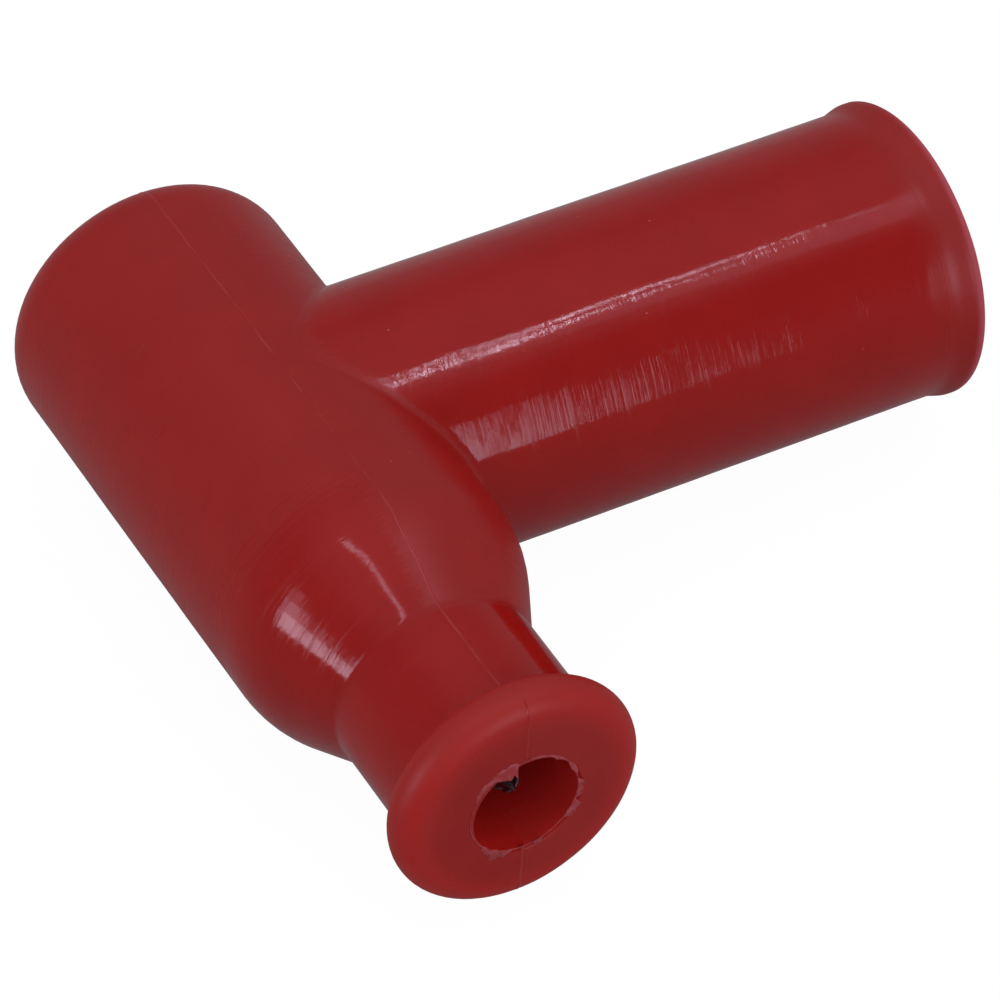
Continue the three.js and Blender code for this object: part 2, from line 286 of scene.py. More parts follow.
def makeBoot():
    fine = meshFineness
    shell = Shell()
    count = 2 * (fine["across"] + fine["along"])
    tubeAngles = (np.arange(count) - fine["across"] / 2) * 2 * np.pi / count
    ends = (boot["closedEndReach"] - boot["closedEndRounding"], -shoulderStart())
    root, closedRing, shoulderRing = growSaddle(
        shell, bodyPlace, boot["bodyRadius"], boot["tubeRadius"], boot["junctionFillet"],
        tubeAngles, ends, fine["across"], fine["along"], fine["back"])
    angles = ringAngles(fine["across"], fine["back"])

    # the closed end
    end = outline([
        (boot["bodyRadius"], ends[0]),
        (boot["bodyRadius"], boot["closedEndReach"], boot["closedEndRounding"]),
        (0.5, boot["closedEndReach"]),
    ])
    shell.close(latheAlongY(shell, closedRing, angles, [p for p in end if p.y > ends[0] + 1e-6]))

    # shoulder, cone, neck and flange, round the hole's edge and in along the lead's hole
    seatAngles = ringAngles(fine["seatAcross"], fine["seatBack"])
    holeDepth = bore["seatRadius"] + 0.8
    face = outline([
        (boot["flangeRadius"] - 1.6, -boot["flangeFace"]),
        (boot["holeRadius"], -boot["flangeFace"], boot["holeEdge"]),
        (boot["holeRadius"], -holeDepth),
    ])
    neckEnd = latheAlongY(shell, shoulderRing, angles, bodyOutline() + flangeOutline() + face)

    # the tube, from its skewed root out to the lip
    straight = boot["bodyRadius"] + boot["rootLength"]
    rows = [root]
    rootPlaces = np.array([shell.places[i] for i in root])
    for share in np.linspace(0, 1, fine["rootRows"] + 1)[1:]:
        x = rootPlaces[:, 0] + (straight - rootPlaces[:, 0]) * share
        rows.append(shell.row(np.stack([x, rootPlaces[:, 1], rootPlaces[:, 2]], 1)))
    shell.chain(rows)
    wall = outline([(boot["tubeRadius"], straight), tuple(mouthOutline()[0])])[1:-1]
    lip = latheAlongX(shell, rows[-1], tubeAngles, wall + mouthOutline())

    # the mouth and the plug's bore, with half as many parts round
    mouthRadius = boot["tubeRadius"] + boot["lipHeight"] - bore["mouthWall"]
    reach = boot["tubeReach"]
    collarStart = reach - bore["collarLength"]
    corners = [
        (mouthRadius + 0.4, reach),
        (mouthRadius, reach, bore["edge"]),
        (bore["collarRadius"], reach - bore["leadIn"], bore["edge"]),
        (bore["collarRadius"], collarStart + bore["collarTaper"], bore["edge"]),
        (bore["radius"], collarStart, bore["edge"]),
    ]
    for i in range(1, bore["sealCount"] + 1):
        middle = collarStart - i * bore["sealPitch"]
        crest = bore["radius"] - bore["sealHeight"]
        half = bore["sealWidth"] / 2
        corners += [
            (bore["radius"], middle + half, bore["edge"]),
            (crest, middle + half - bore["sealHeight"], bore["edge"]),
            (crest, middle - half + bore["sealHeight"], bore["edge"]),
            (bore["radius"], middle - half, bore["edge"]),
        ]
    rimEnd = bore["seatFront"] + bore["rimWidth"]
    corners += [
        (bore["radius"], rimEnd + bore["radius"] - bore["rimRadius"], bore["edge"]),
        (bore["rimRadius"], rimEnd, bore["edge"]),
        (bore["rimRadius"], bore["seatFront"]),
    ]
    inside = outline(corners)
    boreAngles = tubeAngles[::2]
    ring = lambda radius, x, at: shell.row(tubePlace(x, radius * np.cos(at), radius * np.sin(at)))
    mouthRing = ring(*inside[0], boreAngles)
    shell.stitch(mouthRing, lip)
    boreEnd = latheAlongX(shell, mouthRing, boreAngles, inside[1:])
    seatMouth = ring(bore["seatRadius"] - 0.3, bore["seatFront"], boreAngles[::2])
    shell.stitch(seatMouth, boreEnd)

    # the terminal's seat, with the lead's hole coming in from the side
    quarter = fine["across"] // 4
    holeAngles = np.roll(angles, -quarter)
    holeRim, seatFrontRing, seatBackRing = growSaddle(
        shell, seatPlace, bore["seatRadius"], boot["holeRadius"], 0,
        holeAngles, (bore["saddleEnd"], bore["seatBack"]),
        fine["seatAcross"], fine["seatAlong"], fine["seatBack"])
    shell.stitch(neckEnd, shell.lineUp(holeRim, neckEnd))
    rows = [seatMouth]
    seatWall = [(bore["seatRadius"], bore["seatFront"]), (bore["seatRadius"], bore["saddleEnd"])]
    for radius, x in outline(seatWall)[:-1]:
        rows.append(ring(radius, x, boreAngles[::2]))
    shell.chain(rows)
    shell.stitch(rows[-1], shell.lineUp(seatFrontRing, rows[-1]))
    backRow = shell.row(seatPlace(bore["seatBack"], 2.0 * np.cos(seatAngles), 2.0 * np.sin(seatAngles)))
    shell.stitch(seatBackRing, backRow)
    shell.close(backRow)
    return shell


def meshPiece(name, shell, finish, sharpAngle=38):
    mesh = bpy.data.meshes.new(name)
    places = [(crossing + Vector(place)) * mm for place in shell.places]
    mesh.from_pydata(places, [], shell.faces)
    work = bmesh.new()
    work.from_mesh(mesh)
    bmesh.ops.recalc_face_normals(work, faces=work.faces)
    openEdges = sum(1 for edge in work.edges if not edge.is_manifold)
    work.to_mesh(mesh)
    work.free()
    mesh.shade_smooth()
    mesh.set_sharp_from_angle(angle=math.radians(sharpAngle))
    piece = bpy.data.objects.new(name, mesh)
    scene.collection.objects.link(piece)
    mesh.materials.append(finish)
    print(name, len(mesh.polygons), "faces,", openEdges, "open edges")
    return piece


class Nodes:  # one node tree; make() adds any node and wires it up
    def __init__(self, tree):
        self.tree = tree

    def make(self, kind, settings=None, sockets=None, output=0):
        node = self.tree.nodes.new(kind)
        for name, value in (settings or {}).items():
            setattr(node, name, value)
        for name, value in (sockets or {}).items():
            if isinstance(value, Field):
                self.tree.links.new(value.socket, node.inputs[name])
            else:
                node.inputs[name].default_value = value
        return Field(self, node.outputs[output]) if len(node.outputs) else node

    def sweep(self, curve, radius, sides):  # a round rod along a curve, with its radius in millimetres
        section = self.make(
            "GeometryNodeCurvePrimitiveCircle", None, {"Resolution": sides, "Radius": radius * mm})
        return self.make(
            "GeometryNodeCurveToMesh", None, {"Curve": curve, "Profile Curve": section, "Fill Caps": True})


class Field:  # an output socket that can stand in a written sum
    def __init__(self, nodes, socket):
        self.nodes = nodes
        self.socket = socket

    def maths(self, operation, *terms):
        return self.nodes.make("ShaderNodeMath", {"operation": operation}, dict(enumerate(terms)))

    def other(self, output):  # another output of the same node
        return Field(self.nodes, self.socket.node.outputs[output])

    def __add__(self, term):
        return self.maths("ADD", self, term)

    def __sub__(self, term):
        return self.maths("SUBTRACT", self, term)

    def __rsub__(self, term):
        return self.maths("SUBTRACT", term, self)

    def __mul__(self, term):
        return self.maths("MULTIPLY", self, term)

    def __truediv__(self, term):
        return self.maths("DIVIDE", self, term)

    def band(self, low, high):  # 0 below low, 1 above high, smooth between
        return self.nodes.make("ShaderNodeMapRange", {"interpolation_type": "SMOOTHSTEP"},
                               {"Value": self, "From Min": low, "From Max": high})

    __radd__ = __add__
    __rmul__ = __mul__


class Finish(Nodes):  # a material round one Principled shader
    def __init__(self, name, roughness=0.4, metallic=0.0, **constants):
        self.material = bpy.data.materials.new(name)
        self.material.use_nodes = True
        super().__init__(self.material.node_tree)
        self.surface = self.tree.nodes["Principled BSDF"]
        self.place = self.make("ShaderNodeTexCoord", output="Object")
        self.feed({"Roughness": roughness, "Metallic": metallic, **constants})

    def feed(self, sockets):
        for name, value in sockets.items():
            if isinstance(value, Field):
                self.tree.links.new(value.socket, self.surface.inputs[name])
            else:
                self.surface.inputs[name].default_value = value

    def noise(self, where, scale, detail=3.0, roughness=0.5):
        return self.make("ShaderNodeTexNoise", {"noise_dimensions": "3D"},
                         {"Vector": where, "Scale": scale, "Detail": detail, "Roughness": roughness})

    def stretch(self, where, factors):
        return self.make("ShaderNodeVectorMath", {"operation": "MULTIPLY"}, {0: where, 1: factors})

    def blend(self, share, under, over):  # mixes the colour over into the one under
        sockets = {"Factor": share, 6: under if isinstance(under, Field) else (*under, 1), 7: (*over, 1)}
        return self.make("ShaderNodeMix", {"data_type": "RGBA"}, sockets, output=2)

    def bump(self, height, distance, strength=1.0, under=None):
        sockets = {"Height": height, "Distance": distance, "Strength": strength}
        if under:
            sockets["Normal"] = under
        return self.make("ShaderNodeBump", None, sockets)


# Sizes are in millimetres, and a frequency is a noise's scale, so it is per metre
silicone = {
    "red": (0.278, 0.0058, 0.0040), "deepRed": (0.262, 0.0048, 0.0034),
    # painted light: the flange rim's red is lighter, for the light that falls on the rim
    # painted light: the red for the wall of the lead's hole is brighter, for light coming through the rubber
    "rimLitRed": (0.330, 0.0065, 0.0042), "litLiningRed": (0.46, 0.014, 0.011),
    # painted highlight: the lip's pink stands in for the light along the mouth's edge
    "lipHighlightPink": (0.36, 0.052, 0.072), "seamRed": (0.31, 0.026, 0.027), "dust": (0.42, 0.16, 0.16),
    "glow": 0.4, "glowReach": 1.2, "glowColour": (1.0, 0.12, 0.10),  # light that comes back out of the rubber
    "polished": 0.07, "plain": 0.30, "matt": 0.46, "marked": 0.20,  # roughness, and what the marks add to it
    "groovePitch": 0.13, "grooveDepth": 0.009, "grooveRun": 110,  # the last is the frequency along a groove
    "bodyGrooves": 0.7,  # how much deeper the grooves are off the tube
    "moundSize": 3.8, "moundHeight": 0.016, "wearFrequency": 420, "grainFrequency": 5200,
    "speck": 0.075, "speckSpacing": 1.7, "ior": 1.43,
    # where each mark begins and where it is full, out of 1
    "worn": (0.40, 0.66), "smooth": (0.25, 0.75), "marks": (0.50, 0.75), "mottled": (0.35, 0.68),
    "grooveSway": 1.6,  # how far the grooves move the edge of the polished parts
    "grooveStrength": {"plain": 0.55, "worn": 0.45, "scuffed": 0.5, "fine": 0.38},
    "grainStrength": {"plain": 0.05, "scuffed": 0.55, "matt": 0.50},
}


# The rubber takes its surface from the mould: slight mounds, and the fine grooves that turning left,
# which run round the body and, where tubeShare is 1, round the tube. It is smoother where polishShare
# is 1 and matt where mattShare is 1. Its grooves are deeper and its grain shows where scuffedShare is
# 1, and they are shallower where fineShare is 1. Light is painted into the colour in three places:
# painted light makes the flange's rim a lighter red where rimShare is 1, a painted highlight runs pink
# along the lip's edge where lipShare is 1, and painted light from inside the rubber makes the wall of
# the lead's hole a brighter red. The ridge of the parting line is painted a paler red in patches.
def siliconeFinish(name="moulded_silicone", ridge=False):
    rubber = silicone
    finish = Finish(name, IOR=rubber["ior"])
    finish.feed({
        "Subsurface Weight": 0.0 if ridge else rubber["glow"],
        "Subsurface Scale": rubber["glowReach"] * mm, "Subsurface Radius": rubber["glowColour"],
    })
    tube, polish, scuffed, fine, matt, rim, lip, litLining = (
        finish.make("ShaderNodeAttribute", {"attribute_name": f"{zone}Share"}, output="Fac")
        for zone in ("tube", "polish", "scuffed", "fine", "matt", "rim", "lip", "litLining"))
    if ridge:
        polish = 1.0
    turns, run = 0.5 / (rubber["groovePitch"] * mm), rubber["grooveRun"]
    grooveTube = finish.noise(finish.stretch(finish.place, (turns, run, run)), 1.0, 3.0, 0.65)
    grooveBody = finish.noise(finish.stretch(finish.place, (run, turns, run)), 1.0, 3.0, 0.65)
    grooves = grooveBody + (grooveTube - grooveBody) * tube
    deeper = 1 + rubber["bodyGrooves"] * (1 - tube)
    mounds = finish.noise(finish.place, 1 / (rubber["moundSize"] * mm), 3.0, 0.5)
    worn = finish.noise(finish.place, rubber["wearFrequency"], 3.0, 0.6).band(*rubber["worn"])
    smooth = ((grooves - 0.5) * rubber["grooveSway"] + polish).band(*rubber["smooth"])
    marked = grooves.band(*rubber["marks"]) * worn
    rough = rubber["plain"] + (rubber["polished"] - rubber["plain"]) * smooth + rubber["marked"] * marked
    rough = rough + (rubber["matt"] - rough) * matt
    spacing = rubber["speckSpacing"]
    cells = finish.make(
        "ShaderNodeTexVoronoi", {"feature": "F1"}, {"Vector": finish.place, "Scale": 1 / (spacing * mm)})
    chosen = finish.make("ShaderNodeSeparateColor", None, {"Color": cells.other("Color")})
    reach = rubber["speck"] / spacing
    dust = (1 - cells.band(reach * 0.35, reach)) * chosen.band(0.6, 0.9)
    grain = finish.noise(finish.place, rubber["grainFrequency"], 2.0)
    mottled = (mounds + (grain - 0.5) * 0.5).band(*rubber["mottled"])
    colour = finish.blend(mottled, rubber["deepRed"], rubber["red"])
    # painted light on the flange's rim and on the wall of the lead's hole, a painted highlight on the lip's
    # edge, then real dust
    for zone, over in ((rim, "rimLitRed"), (lip, "lipHighlightPink"), (litLining, "litLiningRed"), (dust * 0.7, "dust")):
        colour = finish.blend(zone, colour, rubber[over])
    if ridge:
        colour = finish.blend(0.15 + 0.6 * worn, colour, rubber["seamRed"])
    uneven = finish.bump(mounds, rubber["moundHeight"] * mm)
    groove, grit = rubber["grooveStrength"], rubber["grainStrength"]
    strength = groove["plain"] + groove["worn"] * worn + groove["scuffed"] * scuffed - groove["fine"] * fine
    grooved = grooves * (1 - matt) * strength * deeper
    grained = grain * (grit["plain"] + grit["scuffed"] * scuffed * tube + grit["matt"] * matt)
    relief = finish.bump(grooved + grained, rubber["grooveDepth"] * mm, under=uneven)
    finish.feed({"Base Color": colour, "Roughness": rough, "Normal": relief})
    return finish.material


flashRed = {
    "thin": (0.30, 0.022, 0.024), "frayed": (0.34, 0.060, 0.075),
    "glow": 0.3, "glowReach": 0.6, "glowColour": (1.0, 0.3, 0.25),
    "smooth": 0.38, "rougher": 0.2, "speckHeight": 0.006, "speckFrequency": 2400,
}


# The flash left at the lead's hole is thin, frayed and paler
def flashFinish():
    finish = Finish("silicone_flash", IOR=silicone["ior"])
    specks = finish.noise(finish.place, flashRed["speckFrequency"], 3.0)
    finish.feed({
        "Subsurface Weight": flashRed["glow"], "Subsurface Scale": flashRed["glowReach"] * mm,
        "Subsurface Radius": flashRed["glowColour"],
        "Base Color": finish.blend(specks.band(0.4, 0.7), flashRed["thin"], flashRed["frayed"]),
        "Roughness": flashRed["smooth"] + flashRed["rougher"] * specks,
        "Normal": finish.bump(specks, flashRed["speckHeight"] * mm),
    })
    return finish.material


metals = {  # marks are the height in millimetres and the frequencies along X, Y and Z of the tool's marks
    "turned_brass": {
        "colour": (0.62, 0.42, 0.16), "tarnish": (0.40, 0.25, 0.09), "roughness": (0.22, 0.42),
        "marks": (0.0025, (2600, 120, 120)),
    },
    "spring_wire": {
        "colour": (0.44, 0.44, 0.46), "tarnish": (0.30, 0.30, 0.31), "roughness": (0.20, 0.36),
        "marks": (0.0015, (400, 2200, 2200)),
    },
    # painted shade: the plate is darkened to the shadow that lies over the screw inside the lead's hole
    "zinc_plate_painted_shade": {
        "colour": (0.17, 0.17, 0.19), "tarnish": (0.05, 0.05, 0.06), "roughness": (0.20, 0.38),
        "marks": (0.0020, (900, 900, 900)),
    },
}


def metalFinish(name, stainFrequency=420):
    metal = metals[name]
    finish = Finish(name, metallic=1.0)
    smooth, rough = metal["roughness"]
    height, frequencies = metal["marks"]
    marks = finish.noise(finish.stretch(finish.place, frequencies), 1.0, 3.0, 0.6)
    stains = finish.noise(finish.place, stainFrequency, 4.0, 0.6)
    finish.feed({
        "Base Color": finish.blend(stains.band(0.42, 0.75), metal["colour"], metal["tarnish"]),
        "Roughness": smooth + (rough - smooth) * marks,
        "Normal": finish.bump(marks, height * mm, 0.9),
    })
    return finish.material


# A Geometry Nodes tree with named number inputs. Gives the tree, its nodes and the inputs' fields.
def geometryTree(name, sizes):
    tree = bpy.data.node_groups.new(name, "GeometryNodeTree")
    tree.interface.new_socket("Geometry", in_out="INPUT", socket_type="NodeSocketGeometry")
    tree.interface.new_socket("Geometry", in_out="OUTPUT", socket_type="NodeSocketGeometry")
    for label, value in sizes.items():
        kind = "NodeSocketInt" if isinstance(value, int) else "NodeSocketFloat"
        tree.interface.new_socket(label, in_out="INPUT", socket_type=kind)
    nodes = Nodes(tree)
    source = nodes.make("NodeGroupInput")
    fields = {label: source.other(label) for label in ("Geometry", *sizes)}
    return tree, nodes, fields


# Ends a tree in plain geometry with its material
def finishTree(nodes, geometry, material):
    real = nodes.make("GeometryNodeRealizeInstances", None, {"Geometry": geometry})
    real = nodes.make("GeometryNodeSetShadeSmooth", None, {"Geometry": real})
    real = nodes.make("GeometryNodeSetMaterial", None, {"Geometry": real, "Material": material})
    nodes.make("NodeGroupOutput", None, {"Geometry": real})


# Runs a tree on a piece and leaves the result as its plain mesh
def runTree(piece, tree, sizes):
    modifier = piece.modifiers.new(tree.name, "NODES")
    modifier.node_group = tree
    for item in tree.interface.items_tree:
        if item.in_out == "INPUT" and item.name in sizes:
            modifier[item.identifier] = sizes[item.name]
    graph = bpy.context.evaluated_depsgraph_get()
    made = bpy.data.meshes.new_from_object(piece.evaluated_get(graph))
    piece.modifiers.remove(modifier)
    piece.data = made
    print(piece.name, len(made.polygons), "faces")
    return piece


def linePiece(name, places):  # a piece that is one open line of points, in metres
    mesh = bpy.data.meshes.new(name)
    mesh.from_pydata(places, [(i, i + 1) for i in range(len(places) - 1)], [])
    piece = bpy.data.objects.new(name, mesh)
    scene.collection.objects.link(piece)
    return piece


# The parting line: a fine ridge right round the boot, over the closed end and the flange to the hole
seam = {"Radius": 0.16, "Sink": 0.142, "Wander": 0.09, "Wander scale": 0.6, "Step": 0.12}


def seamRoute():
    half = [Vector((boot["holeRadius"] + 0.1, -boot["flangeFace"]))]
    half += reversed(flangeOutline()[7:])
    half += reversed(bodyOutline())
    half += outline([
        (boot["bodyRadius"], -shoulderStart() + 0.3),
        (boot["bodyRadius"], boot["closedEndReach"], boot["closedEndRounding"]),
        (0.0, boot["closedEndReach"]),
    ])
    sunk = []
    for before, point, after in zip(half[:1] + half, half, half[1:] + half[-1:]):
        along = (after - before).normalized()
        sunk.append(point + Vector((-along.y, along.x)) * seam["Sink"])
    top = [(0, y, radius) for radius, y in sunk]
    bottom = [(0, y, -radius) for radius, y in sunk[:-1]]
    return [(crossing + Vector(place)) * mm for place in top + bottom[::-1]]


def makeSeam(material):
    piece = linePiece("parting_ridge", seamRoute())
    tree, nodes, size = geometryTree("partingRidge", seam)
    line = nodes.make("GeometryNodeMeshToCurve", None, {"Mesh": size["Geometry"]})
    line = nodes.make(
        "GeometryNodeResampleCurve", {"mode": "LENGTH"}, {"Curve": line, "Length": size["Step"] * mm})
    where = nodes.make("GeometryNodeInputPosition")
    drift = nodes.make("ShaderNodeTexNoise", {"noise_dimensions": "3D"},
                       {"Vector": where, "Scale": size["Wander scale"] * 1000, "Detail": 2.0})
    aside = (drift - 0.5) * size["Wander"] * (2 * mm)
    offset = nodes.make("ShaderNodeCombineXYZ", None, {"X": aside})
    line = nodes.make("GeometryNodeSetPosition", None, {"Geometry": line, "Offset": offset})
    finishTree(nodes, nodes.sweep(line, size["Radius"], 16), material)
    return runTree(piece, tree, seam)


# Flash at the lead's hole. Each flap has an angle from +X towards +Z, a half width in degrees,
# and how far it reaches into the hole and out over the face.
flash = {
    "thickness": 0.07, "skin": 0.03, "ripple": 0.10, "leastFrayed": 0.12, "curl": 0.18, "parts": 360,
    "flaps": [
        (112, 16, 0.80, 0.25), (104, 5, 0.95, 0.20), (136, 22, 0.10, 0.28), (60, 30, 0.10, 0.12),
        (25, 14, 0.12, 0.16), (-6, 14, 0.0, 0.42), (-30, 12, 0.0, 0.62), (-74, 6, 0.0, 0.35),
        (-120, 22, 0.03, 0.45), (-119, 6, 0.02, 0.70),
    ],
}


def makeFlash(material):
    shell = Shell()
    angles = np.linspace(0, 2 * np.pi, flash["parts"], endpoint=False)
    inward = np.full_like(angles, flash["skin"] * 0.4)
    outward = np.full_like(angles, flash["skin"])
    frayed = np.full_like(angles, flash["leastFrayed"])
    for angle, width, into, over in flash["flaps"]:
        away = (np.degrees(angles) - angle + 180) % 360 - 180
        shape = np.clip(1 - np.abs(away) / width, 0, 1)
        inward = np.maximum(inward, into * shape ** 0.8)
        outward = np.maximum(outward, over * np.clip(shape * 2, 0, 1))
        frayed = np.maximum(frayed, np.clip(shape * 4, 0, 1))
    ripple = lambda turns, seed: np.array([
        noise.noise(Vector((math.cos(a) * turns, math.sin(a) * turns, seed))) for a in angles])
    inward += flash["ripple"] * frayed * np.clip(ripple(9, 1.3) + 0.6 * ripple(26, 4.1), -0.4, 1)
    outward += flash["ripple"] * 1.5 * (ripple(11, 7.7) + ripple(29, 2.2)) * (outward > 0.2)
    half = flash["thickness"] / 2
    inner = boot["holeRadius"] - inward
    outer = boot["holeRadius"] + outward
    edge = np.full_like(outer, boot["holeRadius"] + 0.02)
    curl = flash["curl"] * np.clip(inward, 0, None)
    rows = []
    for radius, proud in (  # once round the skin's section, from its outer edge over its face
        (outer, -0.01), (outer - 0.04, half * 0.7), (edge, half), (inner + 0.05, half * 0.8 + curl),
        (inner, 0.3 * half + curl), (inner + 0.05, curl - half), (edge, -half),
    ):
        y = np.full_like(angles, -boot["flangeFace"]) - proud
        rows.append(shell.row(tubePlace(radius * np.cos(angles), y, radius * np.sin(angles))))
    shell.chain(rows + rows[:1])
    return meshPiece("hole_flash", shell, material, sharpAngle=60)


# The brass terminal, turned, with the screw's flat and hole on its underside
terminal = {
    "radius": 4.8, "back": -3.7, "front": 13.2, "chamfer": 0.5, "nutRadius": 3.25, "nutLeadIn": 0.6,
    "floor": 3.7, "grooveRadius": 4.2, "grooveHalf": 0.75, "clipReach": 3.4,
    "flatRadius": 2.9, "shankHole": 1.5, "shankHoleEnd": -1.135, "edge": 0.12, "parts": 96,
}
screw = {
    "radius": 1.9, "rootRadius": 1.55, "tipReach": 30.05, "pointAngle": 60, "pointLength": 3.29,
    "collarRadius": 2.6, "collarFront": 5.535, "collarBack": 4.335,
    "shankRadius": 1.4, "shankEnd": -0.835, "parts": 48,
}
thread = {
    "Outer radius": 1.9, "Ridge": 0.24, "Point ridge": 0.13, "Pitch": 0.7,
    "Point length": 2.4, "Length": 21.2,
}
clip = {"Ring radius": 3.45, "Wire radius": 0.45, "Open angle": 70.0, "Reach": 9.8}


# A closed turned solid along +X ("X") or along -Y ("Y") from an outline of (radius, reach, rounding)
def turnedPiece(name, corners, axis, parts, material, step=1.5):
    shell = Shell()
    angles = np.linspace(0, 2 * np.pi, parts, endpoint=False)
    rows = []
    for radius, reach in outline(corners, step):
        a, b, c = np.full(parts, reach), radius * np.cos(angles), radius * np.sin(angles)
        rows.append(shell.row(np.stack([a, b, c] if axis == "X" else [b, -a, c], 1)))
    shell.chain(rows)
    shell.close(rows[0])
    shell.close(rows[-1])
    return meshPiece(name, shell, material)


def cutAway(piece, cutter):
    modifier = piece.modifiers.new("cut", "BOOLEAN")
    modifier.operation = "DIFFERENCE"
    modifier.solver = "EXACT"
    modifier.object = cutter
    graph = bpy.context.evaluated_depsgraph_get()
    made = bpy.data.meshes.new_from_object(piece.evaluated_get(graph))
    piece.modifiers.remove(modifier)
    piece.data = made
    bpy.data.objects.remove(cutter)


def makeTerminal(material):
    t, endRow = terminal, meshFineness["endRow"]
    middle = t["front"] - t["clipReach"]
    corners = [
        (endRow, t["back"]),
        (t["radius"], t["back"], t["chamfer"]),
        (t["radius"], t["front"] - t["chamfer"], t["edge"]),
        (t["radius"] - t["chamfer"], t["front"], t["edge"]),
        (t["nutRadius"] + t["nutLeadIn"], t["front"], t["edge"]),
        (t["nutRadius"], t["front"] - t["nutLeadIn"], t["edge"]),
        (t["nutRadius"], middle + t["grooveHalf"], t["edge"]),
        (t["grooveRadius"], middle + t["grooveHalf"]),
        (t["grooveRadius"], middle - t["grooveHalf"]),
        (t["nutRadius"], middle - t["grooveHalf"], t["edge"]),
        (t["nutRadius"], t["floor"]),
        (endRow, t["floor"] - 0.8),
    ]
    piece = turnedPiece("turned_terminal", corners, "X", t["parts"], material)
    seat = math.sqrt(t["radius"] ** 2 - screw["collarRadius"] ** 2)
    past = t["radius"] + 1
    for radius, end in ((t["flatRadius"], seat), (t["shankHole"], t["shankHoleEnd"])):
        cut = [(endRow, end), (radius, end), (radius, past), (endRow, past)]
        cutAway(piece, turnedPiece("terminal_cut", cut, "Y", 48, material))
    return piece


# The spring clip: an arc of round wire in the terminal's groove
def makeClip(material):
    piece = linePiece("wire_clip", [(0, 0, 0), (0, 0, mm)])
    tree, nodes, size = geometryTree("wireClip", clip)
    gap = size["Open angle"] * (math.pi / 180)
    arc = nodes.make("GeometryNodeCurveArc", {"mode": "RADIUS"}, {
        "Resolution": 72, "Radius": size["Ring radius"] * mm,
        "Start Angle": gap / 2, "Sweep Angle": 2 * math.pi - gap})
    ring = nodes.sweep(arc, size["Wire radius"], 20)
    middle = crossing * mm
    shift = nodes.make(
        "ShaderNodeCombineXYZ", None, {"X": size["Reach"] * mm + middle.x, "Y": middle.y, "Z": middle.z})
    turned = nodes.make("GeometryNodeTransform", None, {
        "Geometry": ring, "Translation": shift, "Rotation": (0, -math.pi / 2, 0)})
    finishTree(nodes, turned, material)
    return runTree(piece, tree, clip)


# The lead's screw: a turned core with two lengths of thread, one of them running out over the point
def makeScrew(material):
    s = screw
    slope = math.tan(math.radians(s["pointAngle"] / 2))
    pointStart = s["tipReach"] - s["radius"] / slope
    corners = [
        (0.03, s["tipReach"] - 0.15),
        (s["rootRadius"], pointStart + (s["radius"] - s["rootRadius"]) / slope, 0.3),
        (s["rootRadius"], s["collarFront"]),
        (s["collarRadius"], s["collarFront"], 0.15),
        (s["collarRadius"], s["collarBack"], 0.15),
        (s["shankRadius"], s["collarBack"]),
        (s["shankRadius"], s["shankEnd"]),
        (meshFineness["endRow"], s["shankEnd"]),
    ]
    piece = turnedPiece("lead_thread_screw", corners, "Y", s["parts"], material, step=0.6)
    tree, nodes, size = geometryTree("screwThread", thread)
    coreRadius = (size["Outer radius"] - size["Ridge"]) * mm
    pointShare = 1 - thread["Point length"] / s["pointLength"]
    pointRadius = (thread["Outer radius"] - thread["Ridge"]) * pointShare * mm
    parts = []
    start = crossing * mm
    threadStart = s["collarFront"] + 0.3
    for length, ridge, endRadius, reach in (
        (size["Length"], size["Ridge"], coreRadius, threadStart),
        (size["Point length"], size["Point ridge"], pointRadius, threadStart + thread["Length"]),
    ):
        spiral = nodes.make("GeometryNodeCurveSpiral", None, {
            "Resolution": 32, "Rotations": length / size["Pitch"], "Start Radius": coreRadius,
            "End Radius": endRadius, "Height": length * mm})
        parts.append(nodes.make("GeometryNodeTransform", None, {
            "Geometry": nodes.sweep(spiral, ridge, 6),
            "Translation": (start.x, start.y - reach * mm, start.z), "Rotation": (math.pi / 2, 0, 0)}))
    joined = nodes.tree.nodes.new("GeometryNodeJoinGeometry")
    for part in (size["Geometry"], *parts):
        nodes.tree.links.new(part.socket, joined.inputs[0])
    finishTree(nodes, Field(nodes, joined.outputs[0]), material)
    return runTree(piece, tree, thread)


# Where the rubber's finish changes, in millimetres from the crossing, and how strong it is there
zones = {
    "shoulder": 9.5, "shoulderPolish": 0.70, "shoulderScuffs": 0.4,
    "near": 17.0, "high": 6.4, "farScuffs": 0.25,  # the tube's root half and its upper side
    "dullWidth": 5.2, "dull": 0.4,  # a dull patch on the cone beside the parting line
    # lipEdge is how far the lip's painted highlight reaches back from the mouth
    "mouthFade": 3.8, "mouthMatt": 0.85, "lipEdge": 0.45,  # measured back from the mouth
    # rimStart and rimEnd bound the painted light on the flange's rim
    "rimStart": 5.4, "rimEnd": 8.2, "outside": 6.0,
    "shiftStart": 22.0, "shiftRun": 8.0, "shiftReach": 6.6, "shiftFade": 2.8,  # of the hole
}


